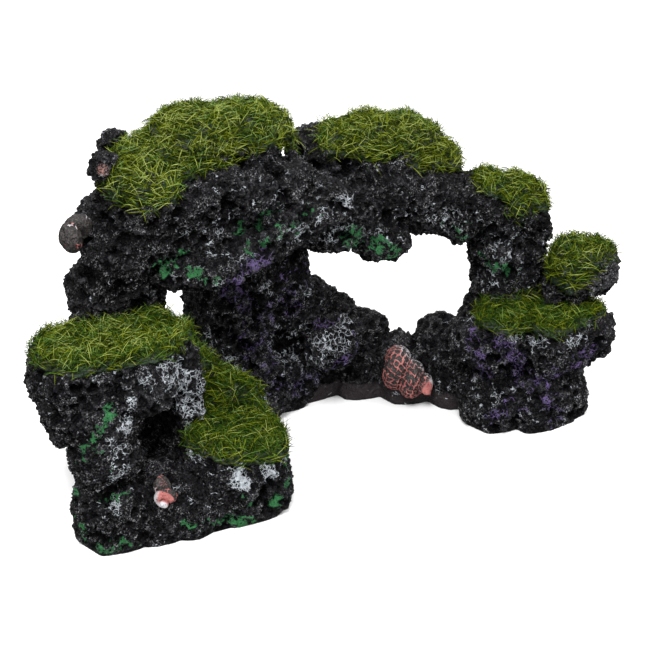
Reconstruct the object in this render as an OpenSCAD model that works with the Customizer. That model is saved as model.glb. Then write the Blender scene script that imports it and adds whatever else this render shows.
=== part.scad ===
// Resin cave ornament: a crescent of bonded rock castings with a window, a front grotto and
// a passage behind the front tower, artificial grass on the level tops, and bonded-on shells.
// Millimetres, +Z up. X runs along the crescent, Y from its open front to its back.

/* [Heights] */
// Top of the rear left head, without its grass
head_top = 171; // [166:1:174]
// Top of the rock over the window, without its grass
beam_top = 152; // [148:1:155]
// Top of the block at the right end of the beam, without its grass
step_block_top = 123; // [120:1:126]
// Top of the horn at the far right, without its grass
spur_top = 92; // [89:1:94]
// Top of the front left slab, without its grass
slab_top = 87; // [85:1:89]
// Top of the right block, without its grass
ledge_top = 57; // [55:1:59]
// Top of the front step boulder, without its grass
front_step_top = 38; // [36:1:40]

/* [Grass] */
// Height of the grass above its adhesive bed
grass_height = 5; // [4:0.5:6]
// Thickness of the adhesive bed under the grass
bed_height = 1.5; // [1.2:0.1:2]

/* [Rock] */
// How far the rock's corners stray from a smooth form, as a part of a lump's size
roughness = 0.07; // [0.04:0.01:0.09]
// How blocky a lump is: 2 is an ellipsoid, higher is squarer
blockiness = 3; // [2.5:0.5:4]

/* [Shells] */
// Length of the large turban shell on the sill
turban_length = 30; // [27:1:33]
// Width of the small shell in the front grotto
grotto_shell_width = 13; // [11:1:15]

/* [Hidden] */
// Corners of one rock lump
lump_corners = 28;
// The middle of the footprint, in the layout that the forms below are placed in
frame_middle = [-6.25, -2.8, 0];
rock_colour = "#2b2a2c";
bed_colour = "#2f5a3c";
grass_colour = "#6f9a1e";
shell_colour = "#c9776f";

// Even spread of n directions over a sphere, one golden angle apart
golden_angle = 137.508;
function spread(n) = [for (i = [0:n - 1])
  let (z = 1 - (2 * i + 1) / n, r = sqrt(1 - z * z))
  [r * cos(i * golden_angle), r * sin(i * golden_angle), z]];

// Pushes a direction out to a rounded block of half size 1
function blocky(p, power) =
  p / pow(pow(abs(p.x), power) + pow(abs(p.y), power) + pow(abs(p.z), power), 1 / power);

// How much of a lump's growth goes sideways: grass stands up and only droops over an edge
side_growth = 0.35;

// One rough lump: its middle, its size across, and how it is turned. grow adds to the top
// and less to the sides, and keeps the corners in line, so a grown lump covers a plain one.
module lump(at, size, turn = [0, 0, 0], grow = 0) {
  jitter = rands(1 - roughness, 1 + roughness, lump_corners, at.x * 7 + at.y * 13 + at.z * 17);
  way = spread(lump_corners);
  half = size / 2 + grow * [side_growth, side_growth, 1];
  points = [for (i = [0:lump_corners - 1])
    let (p = blocky(way[i], blockiness) * jitter[i])
    [p.x * half.x, p.y * half.y, p.z * half.z]];
  translate(at) rotate(turn) hull() polyhedron(points, [[for (i = [0:lump_corners - 1]) i]]);
}

// Everything below the ground
module ground() {
  translate([-300, -300, -200]) cube([600, 600, 200]);
}

// Everything above a sloping plane through at: it limits a patch of grass
module above(at, tilt = [0, 0, 0]) {
  translate(at) rotate(tilt) translate([-150, -150, 0]) cube([300, 300, 150]);
}

/* ---- Forms of the rock castings ---- */

// Pillar, back wall and threshold round the front grotto
module tower_form() {
  lump([-135, -43, 10], [36, 42, 48]);
  lump([-136, -42, 44], [33, 34, 36]);
  lump([-136, -40, 60], [36, 36, 30]);
  lump([-112, -46, 8], [42, 38, 46]);
  lump([-100, -48, 6], [30, 38, 44]);
  lump([-110, -14, 30], [48, 30, 90]);
  lump([-92, -20, 34], [24, 38, 76]);
  lump([-120, -12, 30], [46, 36, 92]);
}
module tower_hollows() {
  lump([-110, -40, 48], [26, 50, 34]);
  lump([-108, -30, 42], [20, 34, 28]);
}

// Overhanging top block of the tower
module slab_form() {
  slab_tops();
  lump([-91, -20, slab_top - 22], [20, 34, 34]);
  lump([-149, -32, slab_top - 27], [24, 34, 24]);
  lump([-126, -42, slab_top - 18], [50, 26, 22]);
}
module slab_tops(grow = 0) {
  difference() {
    union() {
      lump([-139, -21, slab_top - 14], [45, 54, 40], grow = grow);
      lump([-118, -23, slab_top - 14], [50, 54, 40], grow = grow);
      lump([-100, -17, slab_top - 14], [34, 42, 38], grow = grow);
      lump([-141, -11, slab_top - 12], [38, 34, 34], grow = grow);
    }
    above([-120, -20, slab_top + grow], [0, 1, 0]);
  }
}

// Low boulder with the front step
module step_form() {
  step_tops();
  lump([-86, -48, front_step_top - 26], [32, 38, 48]);
  lump([-48, -26, front_step_top - 17], [17, 30, 30]);
  lump([-70, -56, front_step_top - 26], [40, 26, 40]);
}
module step_tops(grow = 0) {
  difference() {
    union() {
      lump([-74, -42, front_step_top - 20], [54, 54, 56], grow = grow);
      lump([-62, -36, front_step_top - 20], [35, 55, 54], grow = grow);
    }
    above([-76, -40, front_step_top + grow], [6, 9, 0]);
  }
  lump([-63, -14, front_step_top - 14], [36, 34, 56], grow = grow);
  lump([-76, -8, front_step_top - 2], [20, 28, 60], grow = grow);
}

// Leg behind the tower
module leg_form() {
  lump([-110, 18, 16], [44, 44, 74]);
  lump([-108, 18, 62], [42, 40, 66]);
  lump([-106, 18, 92], [44, 40, 44]);
  lump([-112, 14, 96], [25, 34, 38]);
  lump([-92, 22, 92], [26, 30, 50]);
}

// Big head over the leg and the column
module head_form() {
  lump([-96, 14, 126], [52, 46, 46]);
  lump([-66, 14, 130], [62, 48, 44]);
  lump([-34, 18, 136], [52, 48, 46]);
  head_tops();
  lump([-106, 8, 118], [32, 36, 38]);
  lump([-84, -2, 138], [44, 22, 22]);
  lump([-52, -2, 140], [48, 24, 24]);
  lump([-22, 6, 138], [34, 28, 26]);
}
module head_tops(grow = 0) {
  lump([-95, 6, head_top - 27], [36, 38, 34], grow = grow);
  lump([-82, 19, head_top - 22], [45, 43, 33], grow = grow);
  lump([-61, 24, head_top - 16], [46, 46, 36], grow = grow);
  lump([-38, 26, head_top - 16], [50, 44, 34], grow = grow);
  lump([-22, 30, head_top - 20], [32, 40, 36], grow = grow);
}
module head_hollows() {
  slot();
  lump([-70, -12, 132], [9, 16, 9]);
  lump([-92, -2, head_top - 14], [9, 9, 16]);
  lump([-44, 0, head_top - 17], [11, 12, 12]);
}

// Narrow slot between the head and the beam, sloping down to the back
module slot() {
  translate([-12, 20, 147]) rotate([-25, 0, -28]) cube([5.5, 90, 11], center = true);
}

// Painted ridge along the foot of the head
module brow_form() {
  lump([-76, 0, 106], [32, 30, 20]);
  lump([-60, -6, 108], [34, 26, 18], turn = [0, -12, 0]);
  lump([-38, -6, 115], [36, 26, 20], turn = [0, -14, 0]);
  lump([-16, -2, 122], [34, 26, 20], turn = [0, -14, 0]);
  lump([4, 6, 124], [28, 26, 22]);
}

// Column between the passage and the window
module column_form() {
  lump([-44, 34, 52], [32, 40, 116]);
  lump([-26, 36, 28], [44, 42, 76]);
  lump([-24, 38, 88], [46, 44, 64]);
  lump([-6, 36, 78], [26, 34, 50]);
  lump([-6, 40, 22], [42, 34, 64]);
  lump([14, 42, 34], [30, 30, 66]);
  lump([2, 34, 57], [28, 28, 34]);
}
module column_hollows() {
  lump([-46, 16, 40], [36, 22, 96]);
  lump([-14, 16, 44], [22, 22, 26]);
  lump([-36, 12, 78], [14, 14, 16]);
  lump([-40, 16, 34], [16, 14, 26]);
}

// Small round lump at the column's right foot
module knob_form() {
  lump([13, 18, 40], [27, 24, 31]);
}

// Rock over the window
module beam_form() {
  lump([0, 26, 118], [42, 40, 46]);
  lump([22, 26, 116], [44, 38, 46]);
  lump([48, 22, 118], [44, 40, 44]);
  lump([68, 14, 114], [38, 38, 42]);
  lump([40, 14, 98], [30, 28, 30]);
  lump([14, 20, 104], [38, 32, 26]);
  lump([84, 4, 104], [26, 34, 30]);
  beam_tops();
}
module beam_tops(grow = 0) {
  lump([16, 34, beam_top - 15], [34, 40, 32], grow = grow);
  lump([38, 34, beam_top - 15], [48, 44, 34], grow = grow);
  lump([60, 28, beam_top - 18], [38, 42, 32], grow = grow);
  lump([72, 20, beam_top - 26], [28, 36, 28], grow = grow);
}

// Post at the right of the window
module post_form() {
  lump([105, -4, 64], [31, 38, 60]);
  lump([104, -6, 90], [38, 36, 44]);
  lump([110, -12, 78], [24, 28, 56]);
  lump([104, 0, 44], [31, 36, 50]);
}
module post_hollows() {
  lump([103, -24, 92], [16, 16, 18]);
}

// Block at the top right corner
module step_block_form() {
  step_block_tops();
  lump([106, -6, step_block_top - 22], [34, 34, 30]);
  lump([114, -10, step_block_top - 26], [22, 26, 24]);
}
module step_block_tops(grow = 0) {
  lump([92, 4, step_block_top - 14], [40, 40, 28], grow = grow);
  lump([109, -2, step_block_top - 18], [36, 36, 28], grow = grow);
}

// Low block at the right of the sill
module block_form() {
  lump([84, -30, 10], [34, 38, 48]);
  lump([104, -34, 10], [40, 50, 48]);
  lump([118, -34, 10], [30, 42, 48]);
  ledge_tops();
  lump([100, -2, 20], [52, 38, 76]);
  lump([132, -44, ledge_top - 12], [26, 26, 26]);
  lump([76, -24, ledge_top - 14], [22, 30, 26]);
}
module ledge_tops(grow = 0) {
  difference() {
    union() {
      lump([91, -28, ledge_top - 14], [38, 40, 40], grow = grow);
      lump([112, -33, ledge_top - 14], [44, 54, 40], grow = grow);
      lump([128, -34, ledge_top - 14], [34, 44, 40], grow = grow);
    }
    above([112, -40, ledge_top + grow], [3, 0, 0]);
  }
  lump([112, -14, ledge_top - 6], [40, 26, 40], grow = grow);
}
module block_hollows() {
  lump([84, -50, 34], [12, 18, 14]);
  lump([112, -62, 26], [22, 20, 16]);
  lump([104, -60, 8], [10, 16, 14]);
}

// Horn at the far right
module spur_form() {
  lump([126, -26, spur_top - 32], [26, 28, 44]);
  spur_tops();
}
module spur_tops(grow = 0) {
  lump([129, -33, spur_top - 14], [26, 26, 28], grow = grow);
  lump([137, -40, spur_top - 13], [20, 24, 28], grow = grow);
}

// Low curved base between the column and the right block, with a smooth rim along its foot
module sill_form() {
  lump([16, 46, 10], [50, 36, 52]);
  lump([32, 46, 20], [34, 28, 64]);
  lump([44, 37, 4], [44, 38, 44]);
  lump([62, 22, 4], [38, 44, 44]);
  lump([80, 5, 4], [36, 42, 50]);
  lump([46, 44, 22], [30, 24, 38]);
  lump([60, 30, 12], [26, 24, 34]);
  lump([80, 20, 18], [34, 28, 44]);
}

/* ---- Forms of the grass patches: each follows the tops of the rock that it grows on ---- */

// How far an adhesive bed reaches below the edge of its grass
bed_skirt = 1;

module head_patch(grow, skirt = 0) {
  intersection() {
    head_tops(grow);
    union() {
      above([-60, 6, head_top - 19 - skirt], [22, 0, 0]);
      above([-98, -10, head_top - 18 - skirt], [14, 8, 0]);
    }
  }
}
module beam_patch(grow, skirt = 0) {
  intersection() {
    beam_tops(grow);
    above([44, 14, beam_top - 15 - skirt], [30, 13, 0]);
  }
}
module step_block_patch(grow, skirt = 0) {
  intersection() {
    step_block_tops(grow);
    above([105, -14, step_block_top - 10 - skirt], [20, 18, 0]);
  }
}
module spur_patch(grow, skirt = 0) {
  intersection() {
    spur_tops(grow);
    above([129, -36, spur_top - 18 - skirt], [16, -20, 0]);
  }
}
module ledge_patch(grow, skirt = 0) {
  intersection() {
    ledge_tops(grow);
    above([112, -56, ledge_top - 1.5 - skirt], [2, 0, 0]);
  }
}
module slab_patch(grow, skirt = 0) {
  intersection() {
    slab_tops(grow);
    above([-120, -44, slab_top - 1.5 - skirt], [0, 1, 0]);
  }
}
module front_step_patch(grow, skirt = 0) {
  intersection() {
    step_tops(grow);
    above([-76, -40, front_step_top - 2 - skirt], [6, 9, 0]);
  }
}

/* ---- Rock castings: each gives way to the ones it is bonded to ---- */

// The first child, less the others and the ground, in the ornament's own frame
module fitted(paint) {
  color(paint) translate(-frame_middle) difference() {
    children(0);
    children([1:$children - 1]);
    ground();
  }
}

module front_left_tower() {
  fitted(rock_colour) { tower_form(); tower_hollows(); }
}
module front_left_slab() {
  fitted(rock_colour) { slab_form(); tower_form(); tower_hollows(); }
}
module front_step_boulder() {
  fitted(rock_colour) { step_form(); tower_form(); slab_form(); }
}
module rear_left_leg() {
  fitted(rock_colour) { leg_form(); tower_form(); slab_form(); }
}
module rear_left_head() {
  fitted(rock_colour) { head_form(); leg_form(); head_hollows(); }
}
module brow_ridge() {
  fitted(rock_colour) { brow_form(); head_form(); leg_form(); }
}
module centre_column() {
  fitted(rock_colour) { column_form(); head_form(); brow_form(); step_form(); column_hollows(); }
}
module lace_knob() {
  fitted(rock_colour) { knob_form(); column_form(); }
}
module arch_beam() {
  fitted(rock_colour) { beam_form(); head_form(); brow_form(); column_form(); }
}
module right_column() {
  fitted(rock_colour) { post_form(); beam_form(); post_hollows(); }
}
module right_step_block() {
  fitted(rock_colour) { step_block_form(); beam_form(); post_form(); post_hollows(); }
}
module right_block() {
  fitted(rock_colour) { block_form(); post_form(); block_hollows(); }
}
module right_spur() {
  fitted(rock_colour) { spur_form(); block_form(); post_form(); }
}
module base_sill() {
  fitted(rock_colour) { sill_form(); column_form(); knob_form(); block_form(); post_form(); }
}

/* ---- Adhesive beds and the grass on them ---- */

// A thin coat over a patch of rock, which follows as the second child
module head_bed() {
  fitted(bed_colour) { head_patch(bed_height, bed_skirt); head_form(); head_hollows(); beam_form(); }
}
module beam_bed() {
  fitted(bed_colour) { beam_patch(bed_height, bed_skirt); beam_form(); head_form(); step_block_form(); }
}
module step_block_bed() {
  fitted(bed_colour) { step_block_patch(bed_height, bed_skirt); step_block_form(); beam_form(); post_form(); }
}
module spur_bed() {
  fitted(bed_colour) { spur_patch(bed_height, bed_skirt); spur_form(); }
}
module ledge_bed() {
  fitted(bed_colour) { ledge_patch(bed_height, bed_skirt); block_form(); spur_form(); post_form(); }
}
module slab_bed() {
  fitted(bed_colour) { slab_patch(bed_height, bed_skirt); slab_form(); leg_form(); }
}
module front_step_bed() {
  fitted(bed_colour) { front_step_patch(bed_height, bed_skirt); step_form(); slab_form(); tower_form(); }
}

// The grass stands on its bed, so it is what a thicker coat adds
grass_rise = bed_height + grass_height;
module head_grass() {
  fitted(grass_colour) {
    head_patch(grass_rise);
    head_patch(bed_height, bed_skirt);
    head_form();
    head_hollows();
    beam_form();
  }
}
module beam_grass() {
  fitted(grass_colour) {
    beam_patch(grass_rise);
    beam_patch(bed_height, bed_skirt);
    beam_form();
    head_form();
    head_patch(grass_rise);
    step_block_form();
  }
}
module step_block_grass() {
  fitted(grass_colour) {
    step_block_patch(grass_rise);
    step_block_patch(bed_height, bed_skirt);
    step_block_form();
    beam_form();
    beam_patch(grass_rise);
    post_form();
  }
}
module spur_grass() {
  fitted(grass_colour) {
    spur_patch(grass_rise);
    spur_patch(bed_height, bed_skirt);
    spur_form();
  }
}
module ledge_grass() {
  fitted(grass_colour) {
    ledge_patch(grass_rise);
    ledge_patch(bed_height, bed_skirt);
    block_form();
    spur_form();
    post_form();
  }
}
module slab_grass() {
  fitted(grass_colour) {
    slab_patch(grass_rise);
    slab_patch(bed_height, bed_skirt);
    slab_form();
    leg_form();
  }
}
module front_step_grass() {
  fitted(grass_colour) {
    front_step_patch(grass_rise);
    front_step_patch(bed_height, bed_skirt);
    step_form();
    slab_form();
    tower_form();
  }
}
module grass_tuft() {
  fitted(grass_colour) {
    lump([101, -22, 108], [14, 10, 8]);
    step_block_form();
    post_form();
  }
}

/* ---- Shells and pebbles ---- */

// Rounded whorls strung along +Z: each whorl is a disc with a round edge
whorl_sides = 16;
whorl_round = 10;
module whorls(radii, pitch) {
  rotate_extrude($fn = whorl_sides) intersection() {
    union() {
      for (i = [0:len(radii) - 1])
        translate([radii[i] * 0.45, i * pitch]) circle(r = radii[i] * 0.55, $fn = whorl_round);
      square([radii[len(radii) - 1] * 0.5, (len(radii) - 1) * pitch]);
    }
    translate([0, -100]) square([100, 200]);
  }
}

module turban_shell() {
  fitted(shell_colour) {
    translate([52, 9, 22.5]) rotate([0, 127, -59])
      whorls([for (step = [0:4]) turban_length * (0.42 - 0.07 * step)], turban_length * 0.17);
    sill_form();
    block_form();
  }
}
module grotto_shell() {
  fitted(shell_colour) {
    translate([-115, -62, 29]) rotate([150, 0, -28])
      whorls([for (step = [0:2]) grotto_shell_width * (0.5 - 0.12 * step)], grotto_shell_width * 0.3);
    tower_form();
  }
}
module side_shell() {
  fitted(shell_colour) {
    translate([-122, 6, 130]) rotate([0, -80, -20]) whorls([9.5, 8.5, 6.5], 4.5);
    head_form();
    leg_form();
  }
}
module edge_pebbles() {
  fitted(rock_colour) {
    union() {
      lump([-111, 8, 162], [14, 15, 14]);
      lump([-97, 28, 164], [16, 14, 12]);
    }
    head_form();
    head_patch(grass_rise);
  }
}

front_left_tower();
front_left_slab();
front_step_boulder();
rear_left_leg();
rear_left_head();
brow_ridge();
centre_column();
lace_knob();
arch_beam();
right_column();
right_step_block();
right_block();
right_spur();
base_sill();
head_bed();
beam_bed();
step_block_bed();
spur_bed();
ledge_bed();
slab_bed();
front_step_bed();
head_grass();
beam_grass();
step_block_grass();
spur_grass();
ledge_grass();
slab_grass();
front_step_grass();
grass_tuft();
turban_shell();
grotto_shell();
side_shell();
edge_pebbles();
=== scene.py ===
"""Resin cave ornament: bonded rock castings, adhesive beds, grass fibres, shells and pebbles.

Everything is in metres in the CAD frame. Lengths named MM_ are in millimetres.
"""

import itertools
import math

import bmesh
import bpy
import numpy as np
from mathutils import Matrix, Vector
from mathutils.bvhtree import BVHTree


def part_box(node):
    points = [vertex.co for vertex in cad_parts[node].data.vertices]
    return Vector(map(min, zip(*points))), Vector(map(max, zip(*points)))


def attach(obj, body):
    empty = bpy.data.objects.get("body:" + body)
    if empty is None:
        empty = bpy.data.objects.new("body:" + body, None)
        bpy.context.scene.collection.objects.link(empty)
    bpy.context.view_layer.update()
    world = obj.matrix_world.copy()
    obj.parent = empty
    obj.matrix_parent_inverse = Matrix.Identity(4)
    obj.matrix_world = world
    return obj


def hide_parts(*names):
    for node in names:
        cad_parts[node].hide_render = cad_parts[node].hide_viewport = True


MM = 0.001

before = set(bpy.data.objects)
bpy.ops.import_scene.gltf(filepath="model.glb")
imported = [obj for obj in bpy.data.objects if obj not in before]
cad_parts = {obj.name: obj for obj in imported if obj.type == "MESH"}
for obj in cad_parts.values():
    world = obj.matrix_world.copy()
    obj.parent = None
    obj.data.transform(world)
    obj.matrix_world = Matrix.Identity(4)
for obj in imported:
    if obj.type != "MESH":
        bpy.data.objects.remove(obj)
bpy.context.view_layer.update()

# ---------------------------------------------------------------- camera

CAMERA_TARGET = Vector((0.00625, 0.0028, 0.060))
CAMERA_DISTANCE = 0.85
CAMERA_AZIMUTH, CAMERA_ELEVATION = math.radians(-28), math.radians(25)
MM_LENS, MM_SENSOR = 92.74, 36
camera_data = bpy.data.cameras.new("camera")
camera_data.lens = MM_LENS
camera_data.sensor_width = MM_SENSOR
camera_data.clip_end = 20
camera = bpy.data.objects.new("camera", camera_data)
bpy.context.scene.collection.objects.link(camera)
camera_back = Vector((
    math.sin(CAMERA_AZIMUTH) * math.cos(CAMERA_ELEVATION),
    -math.cos(CAMERA_AZIMUTH) * math.cos(CAMERA_ELEVATION),
    math.sin(CAMERA_ELEVATION),
))
camera.location = CAMERA_TARGET + camera_back * CAMERA_DISTANCE
camera.rotation_mode = "QUATERNION"
camera.rotation_quaternion = (-camera_back).to_track_quat("-Z", "Y")
bpy.context.scene.camera = camera

# ---------------------------------------------------------------- noise over space, in numpy


def mix_bits(x, y, z, seed):
    """A whole number from 0 to 2**24 for each cell of space."""
    h = (x * 374761393 + y * 668265263 + z * 1274126177 + seed * 974711) & 0xFFFFFFFF
    h = ((h ^ (h >> 13)) * 1103515245) & 0xFFFFFFFF
    h = ((h ^ (h >> 16)) * 69069) & 0xFFFFFFFF
    return (h >> 8) & 0xFFFFFF


GRADIENTS = np.random.default_rng(5).normal(size=(256, 3))
GRADIENTS /= np.linalg.norm(GRADIENTS, axis=1)[:, None]


def noise(points, seed):
    """Smooth noise, about -1 to 1, with features one unit wide."""
    cell = np.floor(points).astype(np.int64)
    part = points - cell
    ease = part**3 * (part * (part * 6 - 15) + 10)
    total = np.zeros(len(points))
    for corner in itertools.product((0, 1), repeat=3):
        x, y, z = (cell + corner).T
        slope = GRADIENTS[mix_bits(x, y, z, seed) & 255]
        weight = np.prod(np.where(corner, ease, 1 - ease), axis=1)
        total += weight * np.sum((part - corner) * slope, axis=1)
    return total * 1.7


def layered(points, octaves, seed):
    """Noise with finer and weaker octaves on top."""
    total, size = np.zeros(len(points)), 1.0
    for octave in range(octaves):
        total += size * noise(points * 2**octave, seed + octave)
        size *= 0.5
    return total


def cells(points, seed):
    """Distance to the nearest and second nearest cell point, and a number from 0 to 1 per cell."""
    base = np.floor(points).astype(np.int64)
    first = np.full(len(points), 9.0)
    second = first.copy()
    kind = np.zeros(len(points))
    for offset in itertools.product((-1, 0, 1), repeat=3):
        x, y, z = (base + offset).T
        bits = [mix_bits(x, y, z, seed + n) / 0xFFFFFF for n in range(4)]
        there = base + offset + np.stack(bits[:3], axis=1)
        gap = np.linalg.norm(points - there, axis=1)
        nearer = gap < first
        second = np.where(nearer, first, np.minimum(second, gap))
        kind = np.where(nearer, bits[3], kind)
        first = np.minimum(first, gap)
    return first, second, kind


def ramp(value, low, high):
    """0 below low, 1 above high, and a smooth step between; low may be the higher one."""
    t = np.clip((value - low) / (high - low), 0, 1)
    return t * t * (3 - 2 * t)


# ---------------------------------------------------------------- meshes


def positions(mesh):
    co = np.empty(len(mesh.vertices) * 3)
    mesh.vertices.foreach_get("co", co)
    return co.reshape(-1, 3)


def normals(mesh):
    co = np.empty(len(mesh.vertices) * 3)
    mesh.vertex_normals.foreach_get("vector", co)
    return co.reshape(-1, 3)


def move(mesh, points):
    mesh.vertices.foreach_set("co", np.ascontiguousarray(points, dtype=np.float32).ravel())
    mesh.update()


def push_out(mesh, distance):
    """Moves each corner of a mesh along its normal by a distance of its own."""
    move(mesh, positions(mesh) + normals(mesh) * distance[:, None])


def store(mesh, name, values):
    layer = mesh.attributes.new(name, "FLOAT", "POINT")
    layer.data.foreach_set("value", np.ascontiguousarray(values, dtype=np.float32))


def smooth_shade(mesh):
    mesh.polygons.foreach_set("use_smooth", np.ones(len(mesh.polygons), dtype=bool))


def new_object(name, mesh):
    piece = bpy.data.objects.new(name, mesh)
    bpy.context.scene.collection.objects.link(piece)
    return piece


def swollen_copy(node, name, swell, voxel, passes):
    """A CAD node's shape, swollen a little, as an even fine mesh with its facets rounded off."""
    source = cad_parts[node]
    shape = bmesh.new()
    shape.from_mesh(source.data)
    bmesh.ops.remove_doubles(shape, verts=shape.verts, dist=1e-6)
    bmesh.ops.recalc_face_normals(shape, faces=shape.faces)
    mesh = bpy.data.meshes.new(name)
    shape.to_mesh(mesh)
    shape.free()
    piece = new_object(name, mesh)
    even = piece.modifiers.new("even", "REMESH")
    even.mode = "VOXEL"
    even.voxel_size = voxel
    rounded = piece.modifiers.new("rounded", "SMOOTH")
    rounded.iterations = passes
    rounded.factor = 0.5
    baked = bpy.data.meshes.new_from_object(
        piece.evaluated_get(bpy.context.evaluated_depsgraph_get())
    )
    piece.modifiers.clear()
    piece.data = baked
    baked.name = name
    bpy.data.meshes.remove(mesh)
    move(baked, positions(baked) + normals(baked) * swell)
    smooth_shade(baked)
    return piece


def at(node, x, y, z):
    """The point at those parts of a node's box, from its low corner to its high one."""
    low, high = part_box(node)
    return np.array([a + (b - a) * f for a, b, f in zip(low, high, (x, y, z))])


# ---------------------------------------------------------------- materials


class Tree:
    """A material's node tree, built up one node at a time."""

    def __init__(self, name):
        self.material = bpy.data.materials.new(name)
        self.material.use_nodes = True
        self.nodes = self.material.node_tree.nodes
        self.links = self.material.node_tree.links
        self.nodes.clear()
        self.shader = self.nodes.new("ShaderNodeBsdfPrincipled")
        out = self.nodes.new("ShaderNodeOutputMaterial")
        self.links.new(self.shader.outputs[0], out.inputs[0])
        self.coordinates = self.nodes.new("ShaderNodeTexCoord").outputs["Object"]

    def plug(self, socket, value):
        if isinstance(value, bpy.types.NodeSocket):
            self.links.new(value, socket)
        else:
            socket.default_value = value

    def math(self, how, a, b=0.0, clamp=False):
        node = self.nodes.new("ShaderNodeMath")
        node.operation = how
        node.use_clamp = clamp
        self.plug(node.inputs[0], a)
        self.plug(node.inputs[1], b)
        return node.outputs[0]

    def attribute(self, name):
        node = self.nodes.new("ShaderNodeAttribute")
        node.attribute_name = name
        return node.outputs["Fac"]

    def noise(self, size, detail=2.0, rough=0.5):
        """Noise from 0 to 1 with features about size metres wide."""
        node = self.nodes.new("ShaderNodeTexNoise")
        node.inputs["Scale"].default_value = 1 / size
        node.inputs["Detail"].default_value = detail
        node.inputs["Roughness"].default_value = rough
        self.links.new(self.coordinates, node.inputs["Vector"])
        return node.outputs["Fac"]

    def wobbled(self, size, amount):
        """The coordinates pushed about by noise, by up to amount metres."""
        node = self.nodes.new("ShaderNodeTexNoise")
        node.inputs["Scale"].default_value = 1 / size
        node.inputs["Detail"].default_value = 1.0
        self.links.new(self.coordinates, node.inputs["Vector"])
        centred = self.nodes.new("ShaderNodeVectorMath")
        centred.operation = "SUBTRACT"
        centred.inputs[1].default_value = (0.5, 0.5, 0.5)
        self.links.new(node.outputs["Color"], centred.inputs[0])
        scaled = self.nodes.new("ShaderNodeVectorMath")
        scaled.operation = "MULTIPLY_ADD"
        scaled.inputs[1].default_value = (amount * 2,) * 3
        self.links.new(centred.outputs[0], scaled.inputs[0])
        self.links.new(self.coordinates, scaled.inputs[2])
        return scaled.outputs[0]

    def cells(self, size, where, feature="DISTANCE_TO_EDGE"):
        """Distance to the edge of cells about size metres wide, or with F1 to their middles."""
        node = self.nodes.new("ShaderNodeTexVoronoi")
        node.feature = feature
        node.inputs["Scale"].default_value = 1 / size
        self.links.new(where, node.inputs["Vector"])
        return node.outputs["Distance"]

    def step(self, value, low, high, to_low=0.0, to_high=1.0):
        """A smooth step from to_low at low to to_high at high; low may be the higher one."""
        node = self.nodes.new("ShaderNodeMapRange")
        node.interpolation_type = "SMOOTHSTEP"
        self.plug(node.inputs["Value"], value)
        node.inputs["From Min"].default_value = low
        node.inputs["From Max"].default_value = high
        node.inputs["To Min"].default_value = to_low
        node.inputs["To Max"].default_value = to_high
        return node.outputs[0]

    def blend(self, amount, a, b):
        node = self.nodes.new("ShaderNodeMix")
        node.data_type = "RGBA"
        self.plug(node.inputs["Factor"], amount)
        self.plug(node.inputs[6], a if isinstance(a, bpy.types.NodeSocket) else (*a, 1))
        self.plug(node.inputs[7], b if isinstance(b, bpy.types.NodeSocket) else (*b, 1))
        return node.outputs[2]

    def bump(self, height, distance, strength=1.0):
        node = self.nodes.new("ShaderNodeBump")
        node.inputs["Strength"].default_value = strength
        node.inputs["Distance"].default_value = distance
        self.plug(node.inputs["Height"], height)
        return node.outputs[0]

    def finish(self, colour, roughness, normal, specular):
        self.plug(self.shader.inputs["Base Color"], colour)
        self.plug(self.shader.inputs["Roughness"], roughness)
        self.plug(self.shader.inputs["Normal"], normal)
        self.shader.inputs["Specular IOR Level"].default_value = specular
        return self.material


ROCK_BLACK = (0.0016, 0.0015, 0.0021)
ROCK_GREY = (0.031, 0.031, 0.035)
# Pale specks: part brushed paint, part painted glints
ROCK_SPECK_AND_GLINT = (0.34, 0.34, 0.35)
ROCK_RIM = (0.022, 0.018, 0.019)
PAINT_WHITE = (0.38, 0.41, 0.44)
PAINT_GREEN = (0.030, 0.132, 0.047)
PAINT_PURPLE = (0.104, 0.072, 0.180)
PAINT_PINK = (0.20, 0.11, 0.095)


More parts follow.
